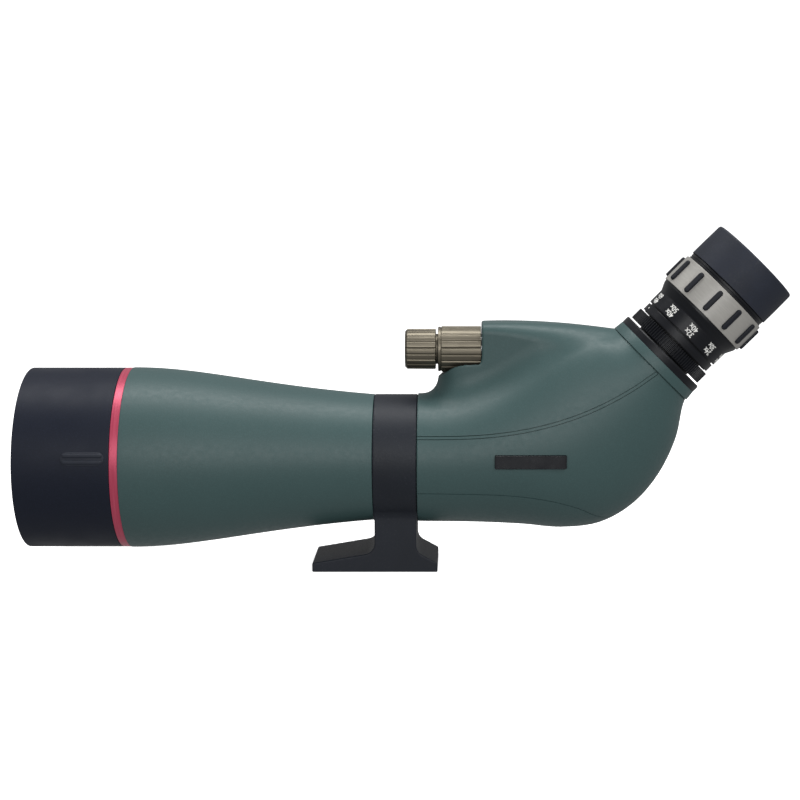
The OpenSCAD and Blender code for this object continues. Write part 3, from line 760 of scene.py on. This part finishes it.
def lower_line():
    """Side view of the lower line: level at the front, then falling round the heel."""
    x = np.linspace(FAN_X + 0.6, 107, 10)
    return zip(x, -14 - 21 * ((x - FAN_X) / 104) ** 4)


LOWER_MEETING = (119.0, -30.5)     # where the lower lines meet underneath
GROOVE = (0.34, 0.8)     # half width near the surface, and depth
BADGE = (70.2, 3.4)      # badge's centre, x and height above the optical axis
BADGE_SIZE = (36.8, 7.0)
BADGE_GAP = 0.2          # between the badge and its recess, all round


def channels(field):
    """Cutters for the double upper and single lower lines on both sides of the housing."""
    out = []
    for side in (-1, 1):
        upper = [side_point(field, x, z, side) for x, z in upper_line()]
        upper.insert(0, np.array([9.0, *upper[0][1:]]))
        out.append(groove_mesh("upper_line", main_field, double_line(main_field, upper, 0.85), *GROOVE))
        lower = [side_point(field, x, z, side) for x, z in lower_line()]
        lower.insert(0, np.array([9.0, *lower[0][1:]]))
        lower.append(np.array([LOWER_MEETING[0], side * 3.0, LOWER_MEETING[1]]))
        lower = onto(main_field, spline(lower, 1.0)[0], 6)
        out.append(groove_mesh("lower_line", main_field, lower, *GROOVE))
    return out


def section_ring(t, inset, count=48):
    angle = math.radians(float(row_at(SECTIONS, np.array([t]), 0)[0]))
    top, bottom, half = (float(row_at(SECTIONS, np.array([t]), c)[0]) for c in (1, 2, 3))
    top, bottom, half = top + inset, bottom - inset, half - inset
    ring = []
    for k in range(count):
        a = 2 * math.pi * k / count
        rho = (top + bottom) / 2 + (bottom - top) / 2 * math.cos(a)
        ring.append((FAN_X + rho * math.sin(angle), half * math.sin(a),
                     AXIS_H + FAN_Z - rho * math.cos(angle)))
    return ring


def hump_room(x):
    """One ring of the room inside the hump, where the focus drive runs."""
    half, top, edge = (float(v) for v in hump_shape(x))
    half, top = half - WALL, top - WALL
    edge = min(edge, half - 0.2)
    arc = [(half - edge * (1 - math.cos(a)), top - edge * (1 - math.sin(a)))
           for a in (math.radians(15 * k) for k in range(7))]
    outline = [(half, 20), *arc, *[(-y, z) for y, z in arc[::-1]], (-half, 20)]
    return [(x, y, AXIS_H + z) for y, z in outline]


def badge_cutter():
    """Shallow recess of the badge, with round corners."""
    outline = rounded_rect(*(side + 2 * BADGE_GAP for side in BADGE_SIZE), 0.9)
    return loft_mesh("badge_recess", [[(BADGE[0] + a, y, AXIS_H + BADGE[1] + b) for a, b in outline]
                                      for y in (-45, -34.9)])


def rounded_rect(width, height, radius, steps=5):
    out = []
    for cx, cy, start in ((1, 1, 0), (-1, 1, 90), (-1, -1, 180), (1, -1, 270)):
        for k in range(steps + 1):
            a = math.radians(start + 90 * k / steps)
            out.append((cx * (width / 2 - radius) + radius * math.cos(a),
                        cy * (height / 2 - radius) + radius * math.sin(a)))
    return out


def housing():
    voxel = 0.78
    mesh = field_mesh("housing", shell_field, (9.5, -39, -40), (160, 39, 76), voxel)
    hollow = loft_mesh("hollow", [section_ring(t, WALL) for t in np.arange(1.2, 8.25, 0.5)])
    room = loft_mesh("hump_room", [hump_room(x) for x in np.arange(POCKET_END + BEARING_WALL, 110, 10)])
    bores = [
        tube_mesh("front_bore", AXIS, 29.65, 5, 24),
        tube_mesh("rod_room", AXIS, 29.4, 20, 35),
        tube_mesh("lip_bore", EYEPIECE, LIP_R - WALL, -17, 3),
        tube_mesh("bearing_bore", KNOBS, 8, POCKET_END - 1, POCKET_END + 6),
    ]
    mesh = cut(mesh, [hollow, room, *bores, *channels(shell_field), badge_cutter()])
    mesh = combined(mesh, [lip_ring()], "UNION")
    smooth_to_field(mesh, housing_field)
    return dress(bpy.data.objects.new("prism_housing", mesh), "green_armour", "scope", "body_housing", None)


# ---------------------------------------- collar and foot

FOOT_FRONT, FOOT_BACK, FOOT_BAND, FOOT_DEPTH = 43.8, 22.1, 4.7, 39.6
NECK_HALF, NECK_TOP, NECK_CORNER = 11.0, 33.0, 6.0
EDGE = 0.55              # radius of the casting's edges
COLLAR_BORE = 30.4       # radius
BOSS_R, BOSS_FROM, BOSS_END = 8, 27, 37   # boss of the lock screw, distances from the optical axis


def neck_corner(reach, slope, grow):
    s = math.radians(slope)
    x = NECK_HALF + NECK_CORNER
    z = FOOT_BAND + (reach - x) * math.tan(s) + NECK_CORNER / math.cos(s)
    r = NECK_CORNER + grow
    return [(x + r * math.cos(a), z + r * math.sin(a))
            for a in (math.radians(270 - slope - (90 - slope) * k / 10) for k in range(11))]


def foot_outline(grow):
    """Side view of foot and neck, drawn in by grow so that a rounding of the same size restores it."""
    def shoulder(reach, slope):
        s = math.radians(slope)
        x = reach - grow
        return x, FOOT_BAND + grow * math.tan(s) - grow / math.cos(s)
    back = [(FOOT_BACK - grow, grow), shoulder(FOOT_BACK, 28.5), *neck_corner(FOOT_BACK, 28.5, grow)]
    front = [(FOOT_FRONT - grow, grow), shoulder(FOOT_FRONT, 9.6), *neck_corner(FOOT_FRONT, 9.6, grow)]
    back.append((NECK_HALF - grow, NECK_TOP))
    front.append((NECK_HALF - grow, NECK_TOP))
    return [(-x, z) for x, z in front] + [(x, z) for x, z in reversed(back)]


def polygon_field(x, z, outline):
    """Signed distance to a polygon, negative inside."""
    best = np.full(x.shape, 1e9)
    inside = np.zeros(x.shape, bool)
    for (ax, az), (bx, bz) in zip(outline, outline[1:] + outline[:1]):
        ex, ez = bx - ax, bz - az
        px, pz = x - ax, z - az
        t = np.clip((px * ex + pz * ez) / (ex * ex + ez * ez), 0, 1)
        best = np.minimum(best, np.hypot(px - ex * t, pz - ez * t))
        if bz != az:
            crosses = ((az > z) != (bz > z)) & (x < ax + (z - az) * ex / ez)
            inside ^= crosses
    return np.where(inside, -best, best)


OUTLINE = foot_outline(EDGE)


def collar_field(x, y, z):
    """Heights are measured from the optical axis."""
    r = np.hypot(y, z)
    band = box_corner(np.abs(x) - COLLAR_HALF, r - COLLAR_R, 0.7)
    flat = polygon_field(x, z + AXIS_H, OUTLINE)
    side = np.abs(y) - FOOT_DEPTH / 2 + EDGE
    foot = np.hypot(np.maximum(flat, 0), np.maximum(side, 0)) + np.minimum(np.maximum(flat, side), 0) - EDGE
    boss = box_corner(np.hypot(x, z) - BOSS_R, y - BOSS_END, 0.8)
    boss = np.maximum(boss, BOSS_FROM - y)
    solid = smooth_min(smooth_min(band, foot, 2.4), boss, 2.0)
    return smooth_max(solid, COLLAR_BORE - r, 0.3)


def collar():
    voxel = 0.72
    mesh = field_mesh("collar", collar_field, (-46, -36, -60), (25, 40, 36), voxel)
    mesh = cut(mesh, [
        tube_mesh("bush_bore", Matrix.Identity(4), 5.0, -1, 9),
        tube_mesh("screw_bore", LOCK, 3.05, 26, 40),
    ])
    smooth_to_field(mesh, collar_field)
    return dress(bpy.data.objects.new("collar_and_foot", mesh), "black_casting", "collar_foot",
                 "tripod_collar", None)


# ---------------------------------------- objective end

HOOD_R, HOOD_FRONT, HOOD_REAR = 47.5, 193.7, 144.0
GUIDE_R = 44.6           # tube that the hood slides on
BARREL_FRONT, BARREL_R = 139.7, 47.7
BARREL_TAPER = math.radians(4.5)   # by which the barrel widens where it leaves the collar
FRONT_HANDLE, REAR_HANDLE = 35.0, 61.0   # handles of the barrel's cubic outline


def barrel_curve(steps=40):
    """Outline of the barrel: level at its front edge and tapered where it meets the collar."""
    rear = -COLLAR_HALF - 0.1
    return cubic([(-BARREL_FRONT, BARREL_R), (FRONT_HANDLE - BARREL_FRONT, BARREL_R + 0.2),
                  (rear - REAR_HANDLE, COLLAR_R + REAR_HANDLE * math.tan(BARREL_TAPER)), (rear, COLLAR_R)],
                 np.linspace(0, 1, steps + 1))


def objective_end():
    turned("hood_shell", "hood", AXIS, [
        (45.65, -HOOD_FRONT + 0.3, 0.1), (46.0, -HOOD_FRONT, 0.25), (HOOD_R, -HOOD_FRONT, 1.75),
        (HOOD_R, -HOOD_REAR - 0.1, 0.45), (GUIDE_R + 0.1, -HOOD_REAR - 0.1, 0.1),
        (GUIDE_R + 0.1, -HOOD_REAR - 2.6, 0), (45.65, -HOOD_REAR - 3.4, 0)], 224, steps=6)
    turned("objective_ring", "name_ring", AXIS, [
        (GUIDE_R, -HOOD_REAR, 0.1), (HOOD_R, -HOOD_REAR, 0.45), (HOOD_R, -BARREL_FRONT, 0.3),
        (GUIDE_R, -BARREL_FRONT, 0.1)], 224)
    curve = barrel_curve()
    outer = [(r, x, 0) for x, r in curve]
    outer[0] = (outer[0][0], outer[0][1], 0.35)
    outer[-1] = (outer[-1][0], outer[-1][1], 0.35)
    inner = [(r - 2.3, x, 0) for x, r in curve[::-1] if -128 < x < -26]
    turned("barrel_shell", "barrel", AXIS, [
        *outer, (29.6, -11.55, 0), (29.6, -26, 0), *inner, (GUIDE_R - 0.6, -128.7, 0),
        (GUIDE_R, -128.7, 0), (GUIDE_R, -BARREL_FRONT, 0)], 224)


def wrapped(points, place, radius, angle):
    """Points given as (along, across, height) laid on a cylinder round a frame's axis."""
    out = []
    for along, across, height in points:
        a = angle + across / radius
        out.append(place @ Vector(((radius + height) * math.cos(a), (radius + height) * math.sin(a), along)))
    return out


def oval(length, width, count=14):
    """Outline of a bar with round ends, along the first axis."""
    r = width / 2
    out = []
    for end, start in ((1, -90), (-1, 90)):
        for k in range(count + 1):
            a = math.radians(start + 180 * k / count)
            out.append((end * (length / 2 - r) + r * math.cos(a), r * math.sin(a)))
    return out


def pad_shape(length, width, levels, count=14):
    """Closed raised bar: levels are (inset, height) from the base to the crown."""
    rings = [[(a, b, height) for a, b in oval(length - 2 * inset, width - 2 * inset, count)]
             for inset, height in levels]
    n = len(rings[0])
    points = [p for r in rings for p in r]
    crown = crown_faces((len(rings) - 1) * n, n)
    return points, [tuple(range(n))[::-1], *band_faces(len(rings), n), *crown]


def crown_faces(base, n):
    """Quads across the top ring of a bar, joining its two long sides."""
    half = n // 2
    faces = []
    for k in range(half):
        a, b = base + k, base + k + 1
        c, d = base + (n - 1 - k) % n, base + (n - 2 - k) % n
        if b == d:
            faces.append((a, b, c))
        elif len({a, b, c, d}) == 4 and b < d:
            faces.append((a, b, d, c))
    return faces


def joined(parts):
    points, faces = [], []
    for p, f in parts:
        base = len(points)
        points += [tuple(q) for q in p]
        faces += [tuple(base + i for i in face) for face in f]
    return points, faces


HOOD_PAD_X = 157.5       # middle of the hood's grip pads, ahead of the collar
HOOD_PAD_TURN = 8.5      # degrees by which the pads sit off the hood's sides


def hood_pads():
    """Two grip pads, each a shallow oval with two long ribs."""
    base = pad_shape(22.2, 6.9, [(0, -0.6), (0, 0.15), (0.15, 0.3), (0.35, 0.34)])
    rib = pad_shape(20.4, 2.1, [(0, 0.1), (0, 0.55), (0.22, 0.85), (0.55, 0.98), (0.85, 1.0)])
    parts = []
    for side in (0, 180):
        centre = math.radians(side - 90 - HOOD_PAD_TURN)
        for shape, shift in ((base, 0), (rib, -1.65), (rib, 1.65)):
            moved = [(a - HOOD_PAD_X, b + shift, h) for a, b, h in shape[0]]
            parts.append((wrapped(moved, AXIS, HOOD_R, centre), shape[1]))
    points, faces = joined(parts)
    new_piece("hood_grip_pads", points, faces, "black_rubber", "hood", "hood_grips")


# ---------------------------------------- knobs

FINE_KNOB, COARSE_KNOB = 4.9, 22.3   # where the knobs' front faces stand


def ribs_on(count, depth, share, soft, low_r, zones):
    """Relief of grooves between ribs, outside a radius and within zones of height."""
    def relief(a, r, z):
        if r < low_r or not any(lo - 0.01 <= z <= hi + 0.01 for lo, hi in zones):
            return 0
        return depth * pulse(a, count, share, soft)
    return relief


def knobs():
    x = FINE_KNOB
    turned("fine_focus_knob", "fine_knob", KNOBS, [
        (0.35, x, 0), (9.5, x, 0.3), (10.6, x + 1.2, 0.3), (10.7, x + 16.2, 0.5), (8.0, x + 16.3, 0.1),
        (8.0, x + 17.25, 0.1), (0.35, x + 17.25, 0)], 320,
        relief=ribs_on(20, 0.4, 0.14, 0.2, 9.2, [(x, x + 16.4)]), sharp=50)
    x = COARSE_KNOB
    turned("coarse_focus_knob", "coarse_knob", KNOBS, [
        (2.05, x, 0), (11.8, x, 0.3), (11.8, x + 1.4, 0.15), (11.45, x + 1.45, 0.05), (11.45, x + 1.75, 0.05),
        (12.1, x + 1.8, 0.35), (12.1, x + 22.7, 0.3), (8.5, x + 22.7, 0.2), (8.5, x + 3.7, 0),
        (2.05, x + 3.7, 0)], 320, relief=ribs_on(20, 0.45, 0.14, 0.2, 11.7, [(x + 1.79, x + 22.8)]), sharp=50)
    turned("collar_lock_knob", "lock_screw", LOCK, [
        (0.35, 32.0, 0), (3.0, 32.0, 0.3), (3.0, 38.0, 0.1), (8.9, 38.0, 0.6), (8.9, 45.8, 0.9),
        (0.35, 45.8, 0)], 256, relief=ribs_on(16, 0.9, 0.34, 0.3, 6.0, [(38, 45.9)]), sharp=50)


# ---------------------------------------- eyepiece

INDEX_R, SCALE_R, GRIP_R = 23.3, 23.65, 26.75   # radii of index band, scale ring and grip ring
PAD_COUNT = 12
PAD_START = -100.5       # one pad's place round the eyepiece, in degrees from local +X
PAD_MIDDLE = 40.4        # middle of the pads along the eyepiece
INDEX_DOT = (15.0, -76)  # along the eyepiece, and degrees from the near side
LABELS = [("48x", "60x"), ("40x", "50x"), ("32x", "40x"), ("24x", "30x"), ("16x", "20x")]
LABEL_ROWS = (20.35, 23.75)   # along the eyepiece
LABEL_SIZE, LABEL_SQUEEZE = 4.1, 0.86
FIRST_LABEL = -75.1      # degrees from the near side, towards the underside
LABEL_STEP = 36.0


def eyepiece():
    turned("socket_ring", "eyepiece_socket", EYEPIECE, [
        (17.45, -12, 0), (24.3, -12, 0), (24.3, 0, 0), (26.2, 0, 0.2), (26.2, 3.5, 0.1), (25.7, 4.2, 0.2),
        (17.45, 4.2, 0.2)], 200)
    turned("eyepiece_lock_ring", "lock_ring", EYEPIECE, [
        (17.45, 5.1, 0.1), (24.5, 5.1, 0.3), (24.5, 11.8, 0.3), (23, 11.8, 0.1), (23, 6.6, 0), (19, 6.6, 0),
        (19, 11.8, 0.1), (17.45, 11.8, 0.1)], 800,
        relief=ribs_on(100, 0.75, 0.46, 0.25, 23.6, [(5.3, 11.7)]), sharp=50,
        extra=[(5.75, 24.0), (11.35, 24.0)])
    turned("index_band", "index_ring", EYEPIECE, [
        (17.4, 11.9, 0), (18.6, 11.9, 0), (18.6, 12.3, 0), (22, 12.3, 0), (22, 12.7, 0.05),
        (INDEX_R, 12.7, 0.25), (INDEX_R, 17.1, 0.25), (17.4, 17.1, 0)], 200)
    turned("scale_ring", "number_ring", EYEPIECE, [
        (19, 17.2, 0), (22, 17.2, 0), (22, 17.9, 0.05), (SCALE_R, 17.9, 0.2), (SCALE_R, 26.3, 0.6),
        (25.6, 30.4, 0.8), (25.8, 31, 0.4), (25.8, 32.2, 0.1), (22, 32.2, 0), (22, 21, 0), (19, 21, 0)], 200)
    turned("grip_ring", "zoom_grip", EYEPIECE, [
        (22, 32.2, 0), (GRIP_R, 32.2, 0.3), (GRIP_R, 48.8, 0.3), (19, 48.8, 0), (19, 46.5, 0),
        (22, 46.5, 0)], 200)
    turned("trim_band", "trim_ring", EYEPIECE, [
        (17.4, 48.95, 0), (25.6, 48.95, 0.25), (25.6, 49.9, 0.05), (25.3, 50.05, 0.05), (25.3, 50.35, 0.05),
        (25.6, 50.5, 0.05), (25.6, 51.8, 0.3), (17.4, 51.8, 0)], 200)
    turned("rubber_eyecup", "eyecup", EYEPIECE, [
        (22.95, 52, 0.1), (26.2, 52, 0.35), (26.2, 60, 0), (26.0, 71.1, 0.2), (25.6, 72.0, 0.35),
        (24.2, 72.0, 0.5), (23.2, 71.0, 0.8), (21, 68.2, 1.2), (17.6, 67.4, 0.3), (17, 66.6, 0.3),
        (22.95, 66.6, 0)], 200, steps=5)
    pad = pad_shape(13.3, 2.9, [(0, -0.5), (0, 0.75), (0.16, 1.1), (0.42, 1.32), (0.75, 1.4), (1.1, 1.42)])
    parts = []
    for k in range(PAD_COUNT):
        centre = math.radians(PAD_START + 360 / PAD_COUNT * k)
        moved = [(a + PAD_MIDDLE, b, h) for a, b, h in pad[0]]
        parts.append((wrapped(moved, EYEPIECE, GRIP_R, centre), pad[1]))
    points, faces = joined(parts)
    new_piece("grip_pads", points, faces, "black_rubber", "zoom_ring", "zoom_pads",
              sharp=50, material=PAD_RUBBER)


def text_shape(word, size, squeeze):
    """Closed mesh of a word, as points (right, up, out) in millimetres and faces."""
    curve = bpy.data.curves.new("word", "FONT")
    curve.body = word
    curve.size = size
    curve.align_x = "CENTER"
    curve.align_y = "CENTER"
    curve.extrude = 0.05
    curve.offset = 0.06
    curve.resolution_u = 3
    obj = bpy.data.objects.new("word", curve)
    bpy.context.scene.collection.objects.link(obj)
    mesh = obj.to_mesh()
    points = [(v.co.x * squeeze, v.co.y, v.co.z) for v in mesh.vertices]
    faces = [tuple(p.vertices) for p in mesh.polygons]
    obj.to_mesh_clear()
    bpy.data.objects.remove(obj)
    bpy.data.curves.remove(curve)
    return points, faces


def scale_marks():
    """The zoom ring's two rows of magnifications, and the index dot."""
    parts = []
    for i, rows in enumerate(LABELS):
        angle = math.radians(-90 + FIRST_LABEL + LABEL_STEP * i)
        for word, along in zip(rows, LABEL_ROWS):
            points, faces = text_shape(word, LABEL_SIZE, LABEL_SQUEEZE)
            moved = [(along - up, -right, out + 0.02) for right, up, out in points]
            parts.append((wrapped(moved, EYEPIECE, SCALE_R, angle), faces))
    points, faces = joined(parts)
    new_piece("scale_numbers", points, faces, None, "zoom_ring", material=SCALE_PAINT, sharp=60)
    dot = pad_shape(1.02, 1.0, [(0, -0.1), (0, 0.03), (0.1, 0.05)], 10)
    along, turn = INDEX_DOT
    moved = [(a + along, b, h) for a, b, h in dot[0]]
    new_piece("index_dot", wrapped(moved, EYEPIECE, INDEX_R, math.radians(-90 + turn)), dot[1],
              None, "eyepiece", material=SCALE_PAINT)


# ---------------------------------------- badge

def badge():
    """Blank gloss plate with round corners and a raised rim."""
    levels = [(0, -34.95), (0, -36.6), (0.14, -36.8), (0.5, -36.8), (0.62, -36.62)]   # inset and y
    rings = []
    for inset, y in levels:
        outline = rounded_rect(*(side - 2 * inset for side in BADGE_SIZE), max(0.8 - inset, 0.2))
        rings.append([(BADGE[0] + a, y, AXIS_H + BADGE[1] + b) for a, b in outline])
    mesh = loft_mesh("badge_plate", rings)
    dress(bpy.data.objects.new("badge_plate", mesh), "badge_black", "scope", "badge", 35)


# ---------------------------------------- studio

FLOOR_FLAT, FLOOR_SWEEP, FLOOR_HEIGHT = 2.4, 0.9, 4.0   # metres


def studio_floor(count=96, steps=16):
    """Round pale floor that sweeps up all round."""
    side = [(FLOOR_FLAT + FLOOR_SWEEP * math.sin(a), FLOOR_SWEEP * (1 - math.cos(a)))
            for a in (math.radians(90 * k / steps) for k in range(steps + 1))]
    side.append((FLOOR_FLAT + FLOOR_SWEEP, FLOOR_HEIGHT))
    points = [(r * math.cos(a), r * math.sin(a), z) for r, z in side
              for a in (2 * math.pi * k / count for k in range(count))]
    faces = [tuple(range(count))]
    for i in range(steps + 1):
        for k in range(count):
            j = (k + 1) % count
            faces.append((i * count + k, (i + 1) * count + k, (i + 1) * count + j, i * count + j))
    mesh = bpy.data.meshes.new("floor")
    mesh.from_pydata(points, [], faces)
    mesh.shade_smooth()
    floor = bpy.data.objects.new("floor", mesh)
    bpy.context.scene.collection.objects.link(floor)
    finish = Finish("floor_paint", (0.86, 0.86, 0.86, 1), 0.6,
                    Emission_Color=(1, 1, 1, 1), Emission_Strength=0.85)
    mesh.materials.append(finish.mat)
    # the white floor throws no light back up, so that the undersides stay dark
    floor.visible_diffuse = False
    floor.visible_glossy = False


def lamp(name, place, aim, size, power, size_y=None):
    light = bpy.data.lights.new(name, "AREA")
    light.shape = "RECTANGLE"
    light.size, light.size_y = size, size_y or size
    light.energy = power
    obj = bpy.data.objects.new(name, light)
    obj.location = place
    obj.rotation_euler = (Vector(aim) - Vector(place)).to_track_quat("-Z", "Y").to_euler()
    bpy.context.scene.collection.objects.link(obj)


def studio():
    """Floor, soft lights and the camera."""
    studio_floor()
    lamp("front", (0.1, -1.7, 0.55), (0.02, 0, 0.1), 1.3, 12, 0.8)
    lamp("top", (0.0, 0.12, 1.4), (0, 0, 0.07), 1.5, 16, 0.5)
    lamp("right", (1.0, -0.8, 1.0), (0.1, 0, 0.1), 0.5, 6)

    world = bpy.data.worlds.new("studio")
    world.use_nodes = True
    background = world.node_tree.nodes["Background"]
    background.inputs["Color"].default_value = (1, 1, 1, 1)
    background.inputs["Strength"].default_value = 0.38
    bpy.context.scene.world = world
    bpy.context.scene.view_settings.view_transform = "Standard"

    lens = bpy.data.cameras.new("camera")
    lens.sensor_width = 36.0
    lens.lens = 77.95
    lens.shift_x, lens.shift_y = -0.075, -0.09
    camera = bpy.data.objects.new("camera", lens)
    camera.location = (0.0339, -0.912, 0.2202)
    camera.rotation_euler = (math.radians(90 - 5.84), 0, 0)
    bpy.context.scene.collection.objects.link(camera)
    bpy.context.scene.camera = camera


housing()
collar()
objective_end()
hood_pads()
knobs()
eyepiece()
scale_marks()
badge()
studio()
